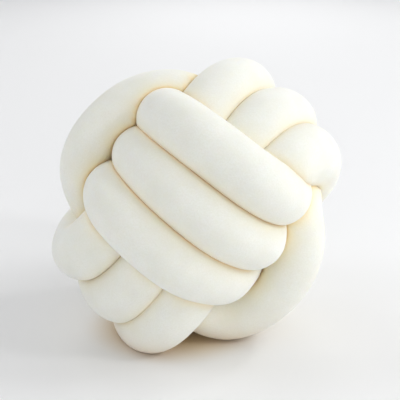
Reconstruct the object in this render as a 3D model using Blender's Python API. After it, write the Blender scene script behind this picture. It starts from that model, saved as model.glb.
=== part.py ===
"""Round cushion: one long stuffed fabric tube woven into a knotted ball.

Three bands of three side by side passes wrap the ball at right angles, each band running over
one of the others and under the third. The tube's two ends are joined out of sight in the core,
so its line is one closed loop. The ball rests on small flat spots pressed into its underside.
"""

import math

import bpy
import numpy as np

MM = 0.001

# Lengths in mm, in the knot's own axes: u runs along the front band, v across its passes and
# w out of the ball's front.
KNOT_AXES = {"u": (1.0, 0.0, 0.0), "v": (0.0, 1.0, 0.0), "w": (0.0, 0.0, 1.0)}

# One row a band. "reach" is how far the line of an outer pass lies from the ball's centre and
# "dive" an inner one. "lane_out" and "lane_in" are the spacing of the passes there. The moves
# set the whole band off centre, "bow" sets the outer passes of its two sides apart, the two
# twists, in degrees, are how far the outer passes of each side lie turned from the band's own
# plane and "tilt" the inner ones, and "lean" staggers neighbouring passes. The larger
# "bend_power" is, the tighter an outer pass turns down into an inner one.
BAND_COLUMNS = (
    "name", "across", "lanes", "outward", "radius", "reach", "dive", "bend_power",
    "lane_out", "lane_in", "move_across", "move_lanes", "move_outward",
    "bow", "twist_near", "twist_far", "tilt", "lean",
)
BAND_ROWS = (
    ("front", "u", "v", "w", 29.2, 120.5, 69.9, 5.36,
     50.6, 41.6, -8.2, 10.3, 1.0, -2.4, 9.3, -3.8, 14.7, 3.1),
    ("belt", "v", "w", "u", 25.0, 115.4, 76.4, 6.27,
     50.6, 36.5, -6.3, -8.1, 0.2, -4.3, 10.8, -0.7, -9.4, 1.2),
    ("corner", "w", "u", "v", 31.3, 115.8, 74.0, 7.80,
     47.9, 45.5, 7.2, -0.5, -8.4, 0.0, -23.0, -11.1, -0.1, 6.9),
)
# The passes that show lie a little unevenly, as wound by hand. One row for a half turn of a band,
# counted from 0 at the start: how far it is turned, in degrees, slid along itself, shifted
# towards its neighbour and lifted outwards, and how much fatter it is stuffed.
PASS_COLUMNS = ("band", "half_turn", "turned", "slid", "shifted", "lifted", "fatter")
PASS_ROWS = (
    ("front", 0, -1.0, -2.2, -2.2, 3.2, -0.8),
    ("front", 2, -3.0, 2.8, -2.9, 1.6, 0.5),
    ("front", 4, -4.1, 0.0, -3.2, -2.7, 0.2),
    ("belt", 0, 6.1, -0.4, -5.9, 3.8, 0.2),
    ("belt", 1, 3.2, 1.5, -0.9, 3.0, -0.1),
    ("corner", 0, -1.4, -5.0, 2.8, -0.3, 0.4),
    ("corner", 1, 2.2, -0.4, -3.8, 4.9, -0.5),
    ("corner", 2, 1.7, 4.2, 4.1, 8.6, -0.7),
    ("corner", 3, 10.5, 3.6, -4.8, 0.1, 1.6),
    ("corner", 4, 6.4, -4.0, -0.2, -0.6, 0.0),
    ("corner", 5, -3.6, -2.5, -1.1, -1.1, -2.0),
)
PASSES = 3  # in each band
ROUNDNESS = 1.007  # 1 keeps the outer passes on a circle about the ball's centre
LEAD_DEG = 35.0  # a band starts and ends this far round from its first inner pass
SHIFT_DEG = 50.0  # the line moves to the next lane within this angle of an inner pass
CORE_KNEE = (5.0, -28.0, 5.0)  # middle of the stretch between two bands: across, lanes, outward
CORE_PULL = 0.4
SOFTEN = 8.0  # the stuffed tube can't bend sharper than about this length
SHOVES, SHOVE_SHARE = 100, 0.06  # rounds in which crowded stretches push each other aside
SHOVE_POINTS = 800
SHOVE_ROOM = 24.0  # the middles of two stretches are pushed about this far apart
SHOVE_OWN = 80.0  # nearer along the line than this is the same stretch
SHOVE_WITHIN, SHOVE_FADE = 100.0, 15.0  # only this near the ball's centre, out of sight

LINE_STEP = 2.0
RINGS = 495
SIDES = 12
DENSITY = 2.0  # of the rings where the tube turns inwards, against the outer passes
DENSE_WITHIN, DENSE_FADE = 88.0, 20.0  # from the ball's centre
GAP = 1.4  # between two stretches of the tube that press on each other
PRESS_POWER = 10.0  # how crisply a round side turns flat where it is pressed
KINK_SHARE = 0.7  # of the bend's own radius, the most that the tube's inner side may take
OWN_LENGTH = 30.0  # nearer along the line than this is the same stretch of tube
NEIGHBOUR_REACH = 125.0  # stretches further away than this never touch
EASINGS, EASE_SHARE = 5, 0.55  # rounds of easing apart what lies between two rings

TURN_DEG = (75.18, 44.12, -12.32)  # the knot's axes to the room's, turned about x, then y, then z
REST_DEPTH = 10.5  # how far the floor presses into the lowest point

FABRIC_COLOUR = (0.82, 0.80, 0.73, 1.0)
FABRIC_ROUGHNESS = 0.92


def clear_scene():
    for thing in list(bpy.data.objects):
        bpy.data.objects.remove(thing)


def eased(share):
    share = np.clip(share, 0.0, 1.0)
    return share ** 3 * (share * (6.0 * share - 15.0) + 10.0)


def in_knot_axes(band, across, lanes, outward):
    parts = ((across, "across"), (lanes, "lanes"), (outward, "outward"))
    return sum(np.multiply.outer(value, KNOT_AXES[band[name]]) for value, name in parts)


def unevenness(band, half_turn):
    for row in PASS_ROWS:
        if row[:2] == (band["name"], half_turn):
            return row[2:]
    return (0.0,) * (len(PASS_COLUMNS) - 2)


def band_line(band, samples=400):
    """The tube's middle line through one band, three turns in a lane each, and its radius."""
    turn = np.radians(np.linspace(LEAD_DEG, 360.0 * PASSES - LEAD_DEG, samples))
    flat = np.maximum(abs(np.cos(turn)), 1e-6)
    arc = band["reach"] / np.sqrt(np.sin(turn) ** 2 + (np.cos(turn) / ROUNDNESS) ** 2)
    power = band["bend_power"]
    reach = (arc ** -power + (band["dive"] / flat) ** -power) ** (-1.0 / power)
    across, outward = -reach * np.cos(turn), reach * np.sin(turn)

    lane = np.full(samples, (PASSES - 1) / 2.0)
    for inner_pass in range(1, PASSES):
        lane -= eased((np.degrees(turn) - 360.0 * inner_pass + SHIFT_DEG) / (2.0 * SHIFT_DEG))
    height = abs(outward) / band["reach"]
    across = across + lane * band["lean"] * height
    lanes = lane * (band["lane_in"] + (band["lane_out"] - band["lane_in"]) * height ** 2)
    lanes += band["bow"] * np.sign(outward) * height ** 2

    share = height ** 1.5
    halves = np.array([unevenness(band, half) for half in range(2 * PASSES)])
    uneven = halves[(turn // math.pi).astype(int)] * share[:, None]
    turned_by, slid, shifted, lifted, fatter = uneven.T
    twist = np.where(outward > 0.0, band["twist_near"], -band["twist_far"]) * share
    twist = np.radians(twist + band["tilt"] * (1.0 - share) + turned_by)
    line = in_knot_axes(
        band,
        across * np.cos(twist) - lanes * np.sin(twist) + slid + band["move_across"],
        across * np.sin(twist) + lanes * np.cos(twist) + shifted + band["move_lanes"],
        outward + np.sign(outward) * lifted + band["move_outward"],
    )
    return line, band["radius"] + fatter


def unit(vector):
    return vector / np.linalg.norm(vector, axis=-1, keepdims=True)


def core_stretch(start, heading, end, end_heading, samples=24):
    """A smooth stretch between two points with the headings it has there."""
    t = (np.arange(1, samples) / samples)[:, None]
    pull = CORE_PULL * np.linalg.norm(end - start)
    near, far = start + heading * pull, end - end_heading * pull
    return (
        (1 - t) ** 3 * start + 3 * (1 - t) ** 2 * t * near
        + 3 * (1 - t) * t ** 2 * far + t ** 3 * end
    )


def evenly_spaced(rows, count):
    """A closed line's rows of x, y, z and tube radius, spaced evenly, and the line's length."""
    loop = np.vstack((rows, rows[:1]))
    strides = np.linalg.norm(np.diff(loop[:, :3], axis=0), axis=1)
    at = np.concatenate(([0.0], np.cumsum(strides)))
    wanted = np.arange(count) / count * at[-1]
    return np.stack([np.interp(wanted, at, column) for column in loop.T], axis=1), at[-1]


def smoothed(rows, length):
    """A closed line's rows without the bends that are too sharp for a stuffed tube."""
    waves = np.fft.fftfreq(len(rows), d=length / len(rows))
    kept = np.exp(-2.0 * (math.pi * waves * SOFTEN) ** 2)[:, None]
    return np.fft.ifft(np.fft.fft(rows, axis=0) * kept, axis=0).real


def shove(line, length):
    """How the stretches push each other aside where they crowd inside the ball."""
    place = np.arange(len(line))
    apart = abs(place[:, None] - place)
    apart = np.minimum(apart, len(line) - apart) * length / len(line)
    offset = line[:, None] - line
    far = np.linalg.norm(offset, axis=2) + (apart < SHOVE_OWN) * 1e6
    push = np.maximum(SHOVE_ROOM - far, 0.0) / far
    free = 1.0 - eased((np.linalg.norm(line, axis=1) - SHOVE_WITHIN) / SHOVE_FADE)
    return SHOVE_SHARE * free[:, None] * (push[:, :, None] * offset).sum(axis=1)


def tube_line(bands):
    """The whole tube's closed middle line, its radius along the line, and the line's length."""
    lines, radii = zip(*(band_line(band) for band in bands))
    rows = []
    for band, line, radius, following in zip(bands, lines, radii, lines[1:] + lines[:1]):
        knee = in_knot_axes(band, *CORE_KNEE)
        through = unit(following[0] - line[-1])
        leaving, arriving = unit(line[-1] - line[-2]), unit(following[1] - following[0])
        points = np.vstack((
            line,
            core_stretch(line[-1], leaving, knee, through),
            knee,
            core_stretch(knee, through, following[0], arriving),
        ))
        inner = np.full(len(points) - len(line), band["radius"])
        rows.append(np.column_stack((points, np.concatenate((radius, inner)))))
    rows, length = evenly_spaced(np.vstack(rows), SHOVE_POINTS)
    rows = smoothed(rows, length)
    for _ in range(SHOVES):
        rows[:, :3] += smoothed(shove(rows[:, :3], length), length)
        rows, length = evenly_spaced(rows, SHOVE_POINTS)
    rows = smoothed(rows, length)
    fine = np.fft.rfft(rows, axis=0)
    count = round(length / LINE_STEP)
    rows = np.fft.irfft(fine, n=count, axis=0) * count / SHOVE_POINTS
    rows, length = evenly_spaced(rows, count)
    return rows[:, :3], rows[:, 3], length


def side_directions(line):
    """Two directions square to the line at each point, turning round it as little as they can."""
    along = unit(np.roll(line, -1, axis=0) - np.roll(line, 1, axis=0))
    first = np.empty_like(line)
    first[0] = unit(np.cross(along[0], (0.0, 0.0, 1.0)))
    for i in range(1, len(line)):
        first[i] = unit(first[i - 1] - along[i] * (first[i - 1] @ along[i]))
    home = first[-1] - along[0] * (first[-1] @ along[0])
    twist = math.atan2(np.cross(home, first[0]) @ along[0], home @ first[0])
    angle = (np.arange(len(line)) / len(line) * twist)[:, None]
    second = np.cross(along, first)
    return (
        along,
        np.cos(angle) * first + np.sin(angle) * second,
        np.cos(angle) * second - np.sin(angle) * first,
    )


def ring_places(line):
    """Which points of the line carry a ring: closer together where the tube dives and turns."""
    inner = 1.0 - eased((np.linalg.norm(line, axis=1) - DENSE_WITHIN) / DENSE_FADE)
    at = np.cumsum(1.0 + (DENSITY - 1.0) * inner)
    return np.searchsorted(at, (np.arange(RINGS) + 0.5) / RINGS * at[-1])


def along_line(line, place, step):
    """How far each point of the line is from one of them, along the line."""
    apart = abs(np.arange(len(line)) - place)
    return np.minimum(apart, len(line) - apart) * step


def tube_rings(line, radius, length):
    """Rings of points on the tube's skin: as round as it can be without touching itself."""
    along, first, second = side_directions(line)
    step = length / len(line)
    bend = (np.roll(along, -1, axis=0) - np.roll(along, 1, axis=0)) / (2.0 * step)
    places = ring_places(line)
    angle = np.arange(SIDES) / SIDES * 2.0 * math.pi
    ways = np.einsum("s,ij->isj", np.cos(angle), first[places])
    ways += np.einsum("s,ij->isj", np.sin(angle), second[places])
    reach = np.empty((RINGS, SIDES))
    for ring, place in enumerate(places):
        offset = line - line[place]
        far = (offset ** 2).sum(axis=1)
        other = (along_line(line, place, step) > OWN_LENGTH) & (far < NEIGHBOUR_REACH ** 2)
        towards = np.maximum(ways[ring] @ offset[other].T + GAP, 1e-3)
        fuller = radius[place] ** 2 - radius[other] ** 2
        pressed = ((far[other] - GAP ** 2 + fuller) / (2.0 * towards)).min(axis=1)
        kink = np.maximum(ways[ring] @ bend[place], 1e-6) / KINK_SHARE
        blend = radius[place] ** -PRESS_POWER + pressed ** -PRESS_POWER + kink ** PRESS_POWER
        reach[ring] = blend ** (-1.0 / PRESS_POWER)

    between = (places + np.append(places[1:], places[0] + len(line))) // 2 % len(line)
    for _ in range(EASINGS):
        rings = line[places][:, None] + ways * reach[:, :, None]
        middles = (rings + np.roll(rings, -1, axis=0)) / 2.0
        lack = np.empty((RINGS, SIDES))
        for ring, place in enumerate(between):
            apart = np.linalg.norm(line - line[place], axis=1)
            own = along_line(line, place, step) <= OWN_LENGTH
            other = ~own & (apart < NEIGHBOUR_REACH)
            outside = (np.linalg.norm(middles[ring][:, None] - line, axis=2) ** 2) - radius ** 2
            past_own = outside[:, other] - outside[:, own].min(axis=1)[:, None]
            lack[ring] = GAP - (past_own / apart[other]).min(axis=1, initial=1e3)
        lack = np.maximum(lack, 0.0)
        reach -= EASE_SHARE * np.maximum(lack, np.roll(lack, 1, axis=0))
    return line[places][:, None] + ways * reach[:, :, None]


def turned(points):
    """The knot's axes to the room's."""
    for axis, degrees in enumerate(TURN_DEG):
        c, s = math.cos(math.radians(degrees)), math.sin(math.radians(degrees))
        a, b = (axis + 1) % 3, (axis + 2) % 3
        matrix = np.eye(3)
        matrix[a, a], matrix[a, b], matrix[b, a], matrix[b, b] = c, -s, s, c
        points = points @ matrix.T
    return points


def on_the_floor(points):
    """Set down with the floor pressed into the lowest stretches, and centred on the z axis."""
    points = points - (0.0, 0.0, points[:, 2].min() + REST_DEPTH)
    points[:, 2] = np.maximum(points[:, 2], 0.0)
    middle = (points.min(axis=0) + points.max(axis=0)) / 2.0
    return points - (middle[0], middle[1], 0.0)


def fabric():
    material = bpy.data.materials.new("cream stuffed fabric")
    material.use_nodes = True
    shader = material.node_tree.nodes["Principled BSDF"]
    shader.inputs["Base Color"].default_value = FABRIC_COLOUR
    shader.inputs["Roughness"].default_value = FABRIC_ROUGHNESS
    return material


def add_tube(collection):
    bands = [dict(zip(BAND_COLUMNS, row)) for row in BAND_ROWS]
    rings = tube_rings(*tube_line(bands))
    points = on_the_floor(turned(rings.reshape(-1, 3))) * MM
    count = len(rings)
    faces = [
        (r * SIDES + s, r * SIDES + (s + 1) % SIDES,
         (r + 1) % count * SIDES + (s + 1) % SIDES, (r + 1) % count * SIDES + s)
        for r in range(count) for s in range(SIDES)
    ]
    mesh = bpy.data.meshes.new("knotted_tube")
    mesh.from_pydata(points.tolist(), [], faces)
    mesh.update()
    mesh.shade_smooth()
    mesh.materials.append(fabric())
    tube = bpy.data.objects.new("knotted_tube", mesh)
    collection.objects.link(tube)
    return tube


def main():
    clear_scene()
    collection = bpy.data.collections.new("round_cushion")
    bpy.context.scene.collection.children.link(collection)
    add_tube(collection)


main()
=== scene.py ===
"""Looks of the round cushion: one stuffed velour tube woven into a knotted ball, on a pale floor."""

import math

import bpy
import numpy as np
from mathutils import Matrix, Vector, noise


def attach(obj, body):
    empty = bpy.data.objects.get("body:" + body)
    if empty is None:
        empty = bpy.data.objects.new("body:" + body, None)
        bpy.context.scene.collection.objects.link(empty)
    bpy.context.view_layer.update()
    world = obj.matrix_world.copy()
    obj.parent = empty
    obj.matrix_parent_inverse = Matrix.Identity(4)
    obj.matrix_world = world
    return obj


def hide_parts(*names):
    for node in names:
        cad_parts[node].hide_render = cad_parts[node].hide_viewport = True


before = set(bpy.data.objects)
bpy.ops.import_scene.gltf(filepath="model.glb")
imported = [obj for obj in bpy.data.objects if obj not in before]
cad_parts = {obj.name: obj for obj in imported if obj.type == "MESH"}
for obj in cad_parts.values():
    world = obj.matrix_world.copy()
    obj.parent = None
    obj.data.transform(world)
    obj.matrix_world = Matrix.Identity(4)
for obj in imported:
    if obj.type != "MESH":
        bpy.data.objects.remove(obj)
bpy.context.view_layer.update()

MM = 0.001

# The tube's route through the knot, as the solid has it, in mm and in the knot's own axes: u runs
# along the front band, v across its passes and w out of the ball's front.
KNOT_AXES = {"u": (1.0, 0.0, 0.0), "v": (0.0, 1.0, 0.0), "w": (0.0, 0.0, 1.0)}

# One row a band. "reach" is how far the line of an outer pass lies from the ball's centre and
# "dive" an inner one. "lane_out" and "lane_in" are the spacing of the passes there. The moves
# set the whole band off centre, "bow" sets the outer passes of its two sides apart, the two
# twists, in degrees, are how far the outer passes of each side lie turned from the band's own
# plane and "tilt" the inner ones, and "lean" staggers neighbouring passes. The larger
# "bend_power" is, the tighter an outer pass turns down into an inner one.
BAND_COLUMNS = (
    "name", "across", "lanes", "outward", "radius", "reach", "dive", "bend_power",
    "lane_out", "lane_in", "move_across", "move_lanes", "move_outward",
    "bow", "twist_near", "twist_far", "tilt", "lean",
)
BAND_ROWS = (
    ("front", "u", "v", "w", 29.2, 120.5, 69.9, 5.36,
     50.6, 41.6, -8.2, 10.3, 1.0, -2.4, 9.3, -3.8, 14.7, 3.1),
    ("belt", "v", "w", "u", 25.0, 115.4, 76.4, 6.27,
     50.6, 36.5, -6.3, -8.1, 0.2, -4.3, 10.8, -0.7, -9.4, 1.2),
    ("corner", "w", "u", "v", 31.3, 115.8, 74.0, 7.80,
     47.9, 45.5, 7.2, -0.5, -8.4, 0.0, -23.0, -11.1, -0.1, 6.9),
)
# The passes that show lie a little unevenly, as wound by hand. One row for a half turn of a band,
# counted from 0 at the start: how far it is turned, in degrees, slid along itself, shifted
# towards its neighbour and lifted outwards, and how much fatter it is stuffed.
PASS_COLUMNS = ("band", "half_turn", "turned", "slid", "shifted", "lifted", "fatter")
PASS_ROWS = (
    ("front", 0, -1.0, -2.2, -2.2, 3.2, -0.8),
    ("front", 2, -3.0, 2.8, -2.9, 1.6, 0.5),
    ("front", 4, -4.1, 0.0, -3.2, -2.7, 0.2),
    ("belt", 0, 6.1, -0.4, -5.9, 3.8, 0.2),
    ("belt", 1, 3.2, 1.5, -0.9, 3.0, -0.1),
    ("corner", 0, -1.4, -5.0, 2.8, -0.3, 0.4),
    ("corner", 1, 2.2, -0.4, -3.8, 4.9, -0.5),
    ("corner", 2, 1.7, 4.2, 4.1, 8.6, -0.7),
    ("corner", 3, 10.5, 3.6, -4.8, 0.1, 1.6),
    ("corner", 4, 6.4, -4.0, -0.2, -0.6, 0.0),
    ("corner", 5, -3.6, -2.5, -1.1, -1.1, -2.0),
)
PASSES = 3  # in each band
ROUNDNESS = 1.007  # 1 keeps the outer passes on a circle about the ball's centre
LEAD_DEG = 35.0  # a band starts and ends this far round from its first inner pass
SHIFT_DEG = 50.0  # the line moves to the next lane within this angle of an inner pass
CORE_KNEE = (5.0, -28.0, 5.0)  # middle of the stretch between two bands: across, lanes, outward
CORE_PULL = 0.4
SOFTEN = 8.0  # the stuffed tube can't bend sharper than about this length
SHOVES, SHOVE_SHARE = 100, 0.06  # rounds in which crowded stretches push each other aside
SHOVE_POINTS = 800
SHOVE_ROOM = 24.0  # the middles of two stretches are pushed about this far apart
SHOVE_OWN = 80.0  # nearer along the line than this is the same stretch
SHOVE_WITHIN, SHOVE_FADE = 100.0, 15.0  # only this near the ball's centre, out of sight
LINE_STEP = 2.0
TURN_DEG = (75.18, 44.12, -12.32)  # the knot's axes to the room's, turned about x, then y, then z
KNOT_CENTRE = (4.27, -1.93, 138.64)  # the middle of the solid's knot, as the cushion rests

# The sewn tube's skin, in mm, finer than the solid's
RINGS = 1500
SIDES = 64
DENSITY = 1.3  # of the rings where the tube turns inwards, against the outer passes
DENSE_WITHIN, DENSE_FADE = 88.0, 20.0  # from the ball's centre
CREASE_GAP = -0.8  # the pile of two stretches that meet sinks this far into each other
PRESS_POWER = 40.0  # how crisply a round side turns flat where it is pressed
KINK_SHARE = 0.75  # of the bend's own radius, the most that the tube's inner side may take
LUMP_SIZE, LUMP_HEIGHT = 42.0, 0.7  # the fibre filling's softest unevenness
OWN_LENGTH = 30.0  # nearer along the line than this is the same stretch of tube
NEIGHBOUR_REACH = 125.0  # stretches further away than this never touch

# Velour, in mm. The real pile's grain of about 0.3 mm is too fine to show, so it is drawn
# coarser, and the patches are where the nap was stroked another way.
PILE_GRAIN = 1.6
PILE_HEIGHT, PILE_BUMP = 0.35, 0.35
NAP_PATCH = 26.0
PILE_DARK, PILE_LIGHT = ("#EAEAE0", 0.1), ("#F0F1EA", 0.4)  # and where in the noise each begins
PILE_ROUGHNESS = 0.95
PILE_SHEEN, SHEEN_SPREAD = 0.3, 0.45
PILE_SCATTER, SCATTER_REACH = 0.35, (5.0, 4.0, 2.4)  # how far red, green and blue light wander
# Painted shade: the pile's colour is made warmer and darker beside the next stretch, in a crease
# and near the floor, where light bounced within the cloth fills the shade. For each, how far
# from them, its colour and how much of that colour.
PAINTED_WARM_SHADE = {
    "nook": (11.0, "#F6E7B9", 0.5),
    "crease": (1.5, "#F6CF92", 0.65),
    "under": (12.0, "#EAC38A", 0.7),
}
# How much of the first two each band shows: the painted shade is stronger on bands whose creases get
# less light
BAND_SHADE_SHARE = {"front": (1.0, 1.0), "belt": (1.7, 0.9), "corner": (0.9, 0.3)}

# Studio, in metres: where each softbox stands, how wide it is and its watts
SOFTBOXES = (
    ("low_right_softbox", (2.13, 0.0, 0.98), 1.0, 9.3),
    ("high_right_softbox", (1.48, 0.0, 1.88), 1.0, 8.7),
    ("front_right_lamp", (1.63, -0.94, 1.44), 0.3, 7.8),
    ("back_right_lamp", (1.63, 0.94, 1.44), 0.3, 6.1),
    ("back_softbox", (0.15, 2.2, 0.98), 1.0, 7.6),
    ("back_left_softbox", (-1.05, 1.05, 1.88), 1.0, 4.5),
    ("low_left_softbox", (-2.13, 0.0, 0.98), 1.0, 4.6),
    ("high_left_softbox", (-1.48, 0.0, 1.88), 1.0, 4.9),
    ("front_softbox", (0.4, -2.13, 0.75), 1.0, 8.6),
)
LIT_POINT = (0.0, 0.0, 0.15)
SWEEP_RADIUS, SWEEP_BEND, SWEEP_HEIGHT = 3.6, 1.3, 3.2
SWEEP_SIDES, BEND_STEPS, FLOOR_RINGS = 96, 16, (0.1, 0.3, 0.6)
SWEEP_COLOUR, SWEEP_ROUGHNESS = "#EFEFEF", 0.9
AIR_COLOUR, AIR_STRENGTH = "#F4F6FA", 0.42
# A pool of warm light painted into the floor's colour close under the cushion, where light comes off
# and through the cloth
CLOTH_LIGHT, CLOTH_LIGHT_MIDDLE = "#DEC59C", (-0.022, -0.012, 0.0)
CLOTH_LIGHT_FULL, CLOTH_LIGHT_END = 0.035, 0.100

# Camera, in mm: its distance from the knot's middle, where that lies off the picture's middle,
# to the right and above, and how wide the picture is there
CAMERA_ELEVATION_DEG = 19.0
CAMERA_DISTANCE = 1165.9
CAMERA_OFF_AXIS = (-0.02, 3.80)
FRAME_WIDTH = 408.0
SENSOR_WIDTH = 36.0


def eased(share):
    share = np.clip(share, 0.0, 1.0)
    return share ** 3 * (share * (6.0 * share - 15.0) + 10.0)


def unit(vector):
    return vector / np.linalg.norm(vector, axis=-1, keepdims=True)


def in_knot_axes(band, across, lanes, outward):
    parts = ((across, "across"), (lanes, "lanes"), (outward, "outward"))
    return sum(np.multiply.outer(value, KNOT_AXES[band[name]]) for value, name in parts)


def unevenness(band, half_turn):
    for row in PASS_ROWS:
        if row[:2] == (band["name"], half_turn):
            return row[2:]
    return (0.0,) * (len(PASS_COLUMNS) - 2)


def band_line(band, samples=400):
    """The tube's middle line through one band, three turns in a lane each, and its radius."""
    turn = np.radians(np.linspace(LEAD_DEG, 360.0 * PASSES - LEAD_DEG, samples))
    flat = np.maximum(abs(np.cos(turn)), 1e-6)
    arc = band["reach"] / np.sqrt(np.sin(turn) ** 2 + (np.cos(turn) / ROUNDNESS) ** 2)
    power = band["bend_power"]
    reach = (arc ** -power + (band["dive"] / flat) ** -power) ** (-1.0 / power)
    across, outward = -reach * np.cos(turn), reach * np.sin(turn)

    lane = np.full(samples, (PASSES - 1) / 2.0)
    for inner_pass in range(1, PASSES):
        lane -= eased((np.degrees(turn) - 360.0 * inner_pass + SHIFT_DEG) / (2.0 * SHIFT_DEG))
    height = abs(outward) / band["reach"]
    across = across + lane * band["lean"] * height
    lanes = lane * (band["lane_in"] + (band["lane_out"] - band["lane_in"]) * height ** 2)
    lanes += band["bow"] * np.sign(outward) * height ** 2

    share = height ** 1.5
    halves = np.array([unevenness(band, half) for half in range(2 * PASSES)])
    uneven = halves[(turn // math.pi).astype(int)] * share[:, None]
    turned_by, slid, shifted, lifted, fatter = uneven.T
    twist = np.where(outward > 0.0, band["twist_near"], -band["twist_far"]) * share
    twist = np.radians(twist + band["tilt"] * (1.0 - share) + turned_by)
    line = in_knot_axes(
        band,
        across * np.cos(twist) - lanes * np.sin(twist) + slid + band["move_across"],
        across * np.sin(twist) + lanes * np.cos(twist) + shifted + band["move_lanes"],
        outward + np.sign(outward) * lifted + band["move_outward"],
    )
    return line, band["radius"] + fatter


def core_stretch(start, heading, end, end_heading, samples=24):
    t = (np.arange(1, samples) / samples)[:, None]
    pull = CORE_PULL * np.linalg.norm(end - start)
    near, far = start + heading * pull, end - end_heading * pull
    return (
        (1 - t) ** 3 * start + 3 * (1 - t) ** 2 * t * near
        + 3 * (1 - t) * t ** 2 * far + t ** 3 * end
    )


def evenly_spaced(rows, count):
    loop = np.vstack((rows, rows[:1]))
    strides = np.linalg.norm(np.diff(loop[:, :3], axis=0), axis=1)
    at = np.concatenate(([0.0], np.cumsum(strides)))
    wanted = np.arange(count) / count * at[-1]
    return np.stack([np.interp(wanted, at, column) for column in loop.T], axis=1), at[-1]


def smoothed(rows, length):
    """A closed line's rows without the bends that are too sharp for a stuffed tube."""
    waves = np.fft.fftfreq(len(rows), d=length / len(rows))
    kept = np.exp(-2.0 * (math.pi * waves * SOFTEN) ** 2)[:, None]
    return np.fft.ifft(np.fft.fft(rows, axis=0) * kept, axis=0).real


def shove(line, length):
    """How the stretches push each other aside where they crowd inside the ball."""
    place = np.arange(len(line))
    apart = abs(place[:, None] - place)
    apart = np.minimum(apart, len(line) - apart) * length / len(line)
    offset = line[:, None] - line
    far = np.linalg.norm(offset, axis=2) + (apart < SHOVE_OWN) * 1e6
    push = np.maximum(SHOVE_ROOM - far, 0.0) / far
    free = 1.0 - eased((np.linalg.norm(line, axis=1) - SHOVE_WITHIN) / SHOVE_FADE)
    return SHOVE_SHARE * free[:, None] * (push[:, :, None] * offset).sum(axis=1)


def tube_line(bands):
    lines, radii = zip(*(band_line(band) for band in bands))
    rows = []
    for band, line, radius, following in zip(bands, lines, radii, lines[1:] + lines[:1]):
        knee = in_knot_axes(band, *CORE_KNEE)
        through = unit(following[0] - line[-1])
        leaving, arriving = unit(line[-1] - line[-2]), unit(following[1] - following[0])
        points = np.vstack((
            line,
            core_stretch(line[-1], leaving, knee, through),
            knee,
            core_stretch(knee, through, following[0], arriving),
        ))
        inner = np.full(len(points) - len(line), band["radius"])
        shade_share = np.tile(BAND_SHADE_SHARE[band["name"]], (len(points), 1))
        rows.append(np.column_stack((points, np.concatenate((radius, inner)), shade_share)))
    rows, length = evenly_spaced(np.vstack(rows), SHOVE_POINTS)
    rows = smoothed(rows, length)
    for _ in range(SHOVES):
        rows[:, :3] += smoothed(shove(rows[:, :3], length), length)
        rows, length = evenly_spaced(rows, SHOVE_POINTS)
    rows = smoothed(rows, length)
    fine = np.fft.rfft(rows, axis=0)
    count = round(length / LINE_STEP)
    rows = np.fft.irfft(fine, n=count, axis=0) * count / SHOVE_POINTS
    rows, length = evenly_spaced(rows, count)
    return rows[:, :3], rows[:, 3], rows[:, 4:], length


def side_directions(line):
    along = unit(np.roll(line, -1, axis=0) - np.roll(line, 1, axis=0))
    first = np.empty_like(line)
    first[0] = unit(np.cross(along[0], (0.0, 0.0, 1.0)))
    for i in range(1, len(line)):
        first[i] = unit(first[i - 1] - along[i] * (first[i - 1] @ along[i]))
    home = first[-1] - along[0] * (first[-1] @ along[0])
    twist = math.atan2(np.cross(home, first[0]) @ along[0], home @ first[0])
    angle = (np.arange(len(line)) / len(line) * twist)[:, None]
    second = np.cross(along, first)
    return (
        along,
        np.cos(angle) * first + np.sin(angle) * second,
        np.cos(angle) * second - np.sin(angle) * first,
    )


def ring_places(line):
    inner = 1.0 - eased((np.linalg.norm(line, axis=1) - DENSE_WITHIN) / DENSE_FADE)
    at = np.cumsum(1.0 + (DENSITY - 1.0) * inner)
    return np.searchsorted(at, (np.arange(RINGS) + 0.5) / RINGS * at[-1])


def tube_rings(line, radius, shade_share, length):
    along, first, second = side_directions(line)
    step = length / len(line)
    bend = (np.roll(along, -1, axis=0) - np.roll(along, 1, axis=0)) / (2.0 * step)
    places = ring_places(line)
    angle = np.arange(SIDES) / SIDES * 2.0 * math.pi
    ways = np.einsum("s,ij->isj", np.cos(angle), first[places])
    ways += np.einsum("s,ij->isj", np.sin(angle), second[places])
    reach = np.empty((RINGS, SIDES))
    room = np.empty((RINGS, SIDES))
    count = len(line)
    for ring, place in enumerate(places):
        offset = line - line[place]
        far = (offset ** 2).sum(axis=1)
        apart = abs(np.arange(count) - place)
        apart = np.minimum(apart, count - apart) * step
        other = (apart > OWN_LENGTH) & (far < NEIGHBOUR_REACH ** 2)
        towards = np.maximum(ways[ring] @ offset[other].T + CREASE_GAP, 1e-3)
        fuller = radius[place] ** 2 - radius[other] ** 2
        pressed = ((far[other] - CREASE_GAP ** 2 + fuller) / (2.0 * towards)).min(axis=1)
        kink = np.maximum(ways[ring] @ bend[place], 1e-6) / KINK_SHARE
        round_skin = line[place] + ways[ring] * radius[place]
        lumps = np.array([noise.noise(Vector(point / LUMP_SIZE)) for point in round_skin])
        full = radius[place] + LUMP_HEIGHT * lumps
        blend = full ** -PRESS_POWER + pressed ** -PRESS_POWER + kink ** PRESS_POWER
        reach[ring] = blend ** (-1.0 / PRESS_POWER)
        skin = ways[ring] * reach[ring][:, None]
        outside = ((skin[:, None] - offset[other]) ** 2).sum(axis=2) - radius[other] ** 2
        past_own = outside - (reach[ring] ** 2 - radius[place] ** 2)[:, None]
        room[ring] = (past_own / np.sqrt(far[other])).min(axis=1)
    return line[places][:, None] + ways * reach[:, :, None], room, shade_share[places]


def turned(points):
    for axis, degrees in enumerate(TURN_DEG):
        c, s = math.cos(math.radians(degrees)), math.sin(math.radians(degrees))
        a, b = (axis + 1) % 3, (axis + 2) % 3
        matrix = np.eye(3)
        matrix[a, a], matrix[a, b], matrix[b, a], matrix[b, b] = c, -s, s, c
        points = points @ matrix.T
    return points


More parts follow.
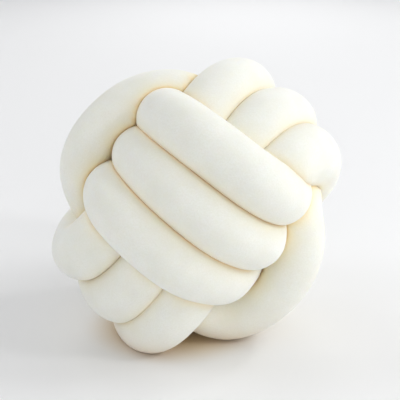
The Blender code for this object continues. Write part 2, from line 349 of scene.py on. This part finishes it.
def srgb(hex_colour):
    """An sRGB hex colour as linear RGBA."""
    parts = [int(hex_colour[i:i + 2], 16) / 255 for i in (1, 3, 5)]
    linear = [p / 12.92 if p <= 0.04045 else ((p + 0.055) / 1.055) ** 2.4 for p in parts]
    return (*linear, 1.0)


def add_node(tree, kind, settings=None, links=None, **values):
    """A node with its settings, its input values, and links into it: {input: other's output}."""
    node = tree.nodes.new(kind)
    for name, value in (settings or {}).items():
        setattr(node, name, value)
    for name, value in values.items():
        node.inputs[name].default_value = value
    for name, output in (links or {}).items():
        tree.links.new(output, node.inputs[name])
    return node


def new_material(name):
    material = bpy.data.materials.new(name)
    material.use_nodes = True
    return material, material.node_tree, material.node_tree.nodes["Principled BSDF"]


def brushed_velour():
    """Knitted polyester velour, brushed: a short dense pile that scatters light softly.

    It looks chalky and almost even, with a faint grain, and paler along its edges where the pile
    stands up against the light. Warm shade is painted into its colour in the creases, beside the
    next stretch and near the floor.
    """
    material, tree, shader = new_material("brushed knitted velour, cream")
    place = add_node(tree, "ShaderNodeTexCoord").outputs["Object"]
    nap = add_node(tree, "ShaderNodeTexNoise", links={"Vector": place},
                   Scale=1.0 / (NAP_PATCH * MM), Detail=3.0)
    grain = add_node(tree, "ShaderNodeTexNoise", links={"Vector": place},
                     Scale=1.0 / (PILE_GRAIN * MM), Detail=2.0)
    both = add_node(tree, "ShaderNodeMath", {"operation": "MULTIPLY"})
    tree.links.new(nap.outputs["Fac"], both.inputs[0])
    tree.links.new(grain.outputs["Fac"], both.inputs[1])
    brushed = add_node(tree, "ShaderNodeValToRGB", links={"Fac": both.outputs[0]})
    for stop, (pile, begins) in zip(brushed.color_ramp.elements, (PILE_DARK, PILE_LIGHT)):
        stop.position, stop.color = begins, srgb(pile)
    colour = brushed.outputs["Color"]
    # Painted warm shade: each mix makes the colour warmer and darker near a crease, the next stretch
    # or the floor
    for name, (_, warmer, share) in PAINTED_WARM_SHADE.items():
        near = add_node(tree, "ShaderNodeAttribute", {"attribute_name": name})
        part = add_node(tree, "ShaderNodeMath", {"operation": "MULTIPLY"})
        tree.links.new(near.outputs["Fac"], part.inputs[0])
        part.inputs[1].default_value = share
        mixed = add_node(tree, "ShaderNodeMix", {"data_type": "RGBA"}, {"Factor": part.outputs[0]})
        tree.links.new(colour, mixed.inputs["A"])
        mixed.inputs["B"].default_value = srgb(warmer)
        colour = mixed.outputs["Result"]
    tree.links.new(colour, shader.inputs["Base Color"])
    bump = add_node(tree, "ShaderNodeBump", links={"Height": grain.outputs["Fac"]},
                    Strength=PILE_BUMP, Distance=PILE_HEIGHT * MM)
    tree.links.new(bump.outputs["Normal"], shader.inputs["Normal"])
    shader.inputs["Roughness"].default_value = PILE_ROUGHNESS
    shader.inputs["Sheen Weight"].default_value = PILE_SHEEN
    shader.inputs["Sheen Roughness"].default_value = SHEEN_SPREAD
    shader.inputs["Subsurface Weight"].default_value = PILE_SCATTER
    shader.inputs["Subsurface Radius"].default_value = [reach * MM for reach in SCATTER_REACH]
    shader.inputs["Subsurface Scale"].default_value = 1.0
    return material


def painted_warm_shade(points, room, shade_share):
    """How near each point of the skin is to where warm shade is painted on the pile, from 0 to 1."""
    away = {"nook": room, "crease": room, "under": points[:, 2]}
    near = {name: np.exp(-away[name] / PAINTED_WARM_SHADE[name][0]) for name in PAINTED_WARM_SHADE}
    near["nook"] *= shade_share[:, 0]
    near["crease"] *= shade_share[:, 1]
    return near


def sewn_tube():
    """The whole cushion's skin at its real shape, set down on the floor as the solid is."""
    bands = [dict(zip(BAND_COLUMNS, row)) for row in BAND_ROWS]
    rings, room, shade_share = tube_rings(*tube_line(bands))
    points = turned(rings.reshape(-1, 3)) + KNOT_CENTRE
    points[:, 2] = np.maximum(points[:, 2], 0.0)
    faces = [
        (r * SIDES + s, r * SIDES + (s + 1) % SIDES,
         (r + 1) % RINGS * SIDES + (s + 1) % SIDES, (r + 1) % RINGS * SIDES + s)
        for r in range(RINGS) for s in range(SIDES)
    ]
    mesh = bpy.data.meshes.new("velour_tube")
    mesh.from_pydata((points * MM).tolist(), [], faces)
    mesh.update()
    mesh.shade_smooth()
    room = np.maximum(room, 0.0).ravel()
    # How much painted warm shade each point of the skin takes
    for name, near in painted_warm_shade(points, room, np.repeat(shade_share, SIDES, axis=0)).items():
        attribute = mesh.attributes.new(name, "FLOAT", "POINT")
        attribute.data.foreach_set("value", near.astype(np.float32))
    mesh.materials.append(brushed_velour())
    tube = bpy.data.objects.new("velour_tube", mesh)
    bpy.context.scene.collection.objects.link(tube)
    return tube


def photo_camera():
    """The camera where the photo was taken from: level across, a little above the cushion."""
    elevation = math.radians(CAMERA_ELEVATION_DEG)
    right = Vector((1.0, 0.0, 0.0))
    up = Vector((0.0, math.sin(elevation), math.cos(elevation)))
    back = Vector((0.0, -math.cos(elevation), math.sin(elevation)))
    camera = bpy.data.cameras.new("photo_camera")
    camera.sensor_width = SENSOR_WIDTH
    camera.lens = SENSOR_WIDTH * CAMERA_DISTANCE / FRAME_WIDTH
    holder = bpy.data.objects.new("photo_camera", camera)
    across, above = CAMERA_OFF_AXIS
    holder.location = MM * (
        Vector(KNOT_CENTRE) - right * across - up * above + back * CAMERA_DISTANCE
    )
    holder.rotation_euler = (math.pi / 2 - elevation, 0.0, 0.0)
    bpy.context.scene.collection.objects.link(holder)
    bpy.context.scene.camera = holder


def matt_painted_sweep():
    """Matt emulsion paint, rolled: pale, without a shine, with a pool of warm light painted in close
    under the cushion.
    """
    material, tree, shader = new_material("matt painted sweep")
    place = add_node(tree, "ShaderNodeTexCoord").outputs["Object"]
    away = add_node(tree, "ShaderNodeVectorMath", {"operation": "DISTANCE"})
    tree.links.new(place, away.inputs[0])
    away.inputs[1].default_value = CLOTH_LIGHT_MIDDLE
    near = add_node(tree, "ShaderNodeMapRange", {"interpolation_type": "SMOOTHSTEP"},
                    {"Value": away.outputs["Value"]})
    near.inputs["From Min"].default_value = CLOTH_LIGHT_FULL
    near.inputs["From Max"].default_value = CLOTH_LIGHT_END
    near.inputs["To Min"].default_value = 1.0
    near.inputs["To Max"].default_value = 0.0
    # The floor's paint, with the pool of warm light painted into it close under the cushion
    paint = add_node(tree, "ShaderNodeMix", {"data_type": "RGBA"}, {"Factor": near.outputs["Result"]})
    paint.inputs["A"].default_value = srgb(SWEEP_COLOUR)
    paint.inputs["B"].default_value = srgb(CLOTH_LIGHT)
    tree.links.new(paint.outputs["Result"], shader.inputs["Base Color"])
    shader.inputs["Roughness"].default_value = SWEEP_ROUGHNESS
    return material


def studio_sweep():
    """A round floor that bends up into a wall all round, so each view has the same backdrop."""
    profile = [(SWEEP_RADIUS * share, 0.0) for share in FLOOR_RINGS] + [
        (SWEEP_RADIUS + SWEEP_BEND * (math.sin(a) - 1.0), SWEEP_BEND * (1.0 - math.cos(a)))
        for a in np.linspace(0.0, math.pi / 2, BEND_STEPS)
    ] + [(SWEEP_RADIUS, SWEEP_HEIGHT)]
    round_about = np.linspace(0.0, 2.0 * math.pi, SWEEP_SIDES, endpoint=False)
    points = [(r * math.cos(a), r * math.sin(a), z) for r, z in profile for a in round_about]
    n = SWEEP_SIDES
    faces = [tuple(range(n))] + [
        (k * n + i, (k + 1) * n + i, (k + 1) * n + (i + 1) % n, k * n + (i + 1) % n)
        for k in range(len(profile) - 1) for i in range(n)
    ]
    mesh = bpy.data.meshes.new("studio_sweep")
    mesh.from_pydata(points, [], faces)
    mesh.shade_smooth()
    mesh.materials.append(matt_painted_sweep())
    sweep = bpy.data.objects.new("studio_sweep", mesh)
    bpy.context.scene.collection.objects.link(sweep)


def studio_lights():
    """Soft light from the right and a weaker fill all about."""
    world = bpy.data.worlds.new("studio_air")
    bpy.context.scene.world = world
    world.use_nodes = True
    background = world.node_tree.nodes["Background"]
    background.inputs["Color"].default_value = srgb(AIR_COLOUR)
    background.inputs["Strength"].default_value = AIR_STRENGTH
    for name, place, width, power in SOFTBOXES:
        light = bpy.data.lights.new(name, "AREA")
        light.shape = "DISK"
        light.size = width
        light.energy = power
        holder = bpy.data.objects.new(name, light)
        holder.location = place
        away = Vector(place) - Vector(LIT_POINT)
        holder.rotation_euler = away.to_track_quat("Z", "Y").to_euler()
        bpy.context.scene.collection.objects.link(holder)


tube = sewn_tube()
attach(tube, "root")
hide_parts("knotted_tube")
photo_camera()
studio_sweep()
studio_lights()
bpy.context.scene.view_settings.view_transform = "Standard"
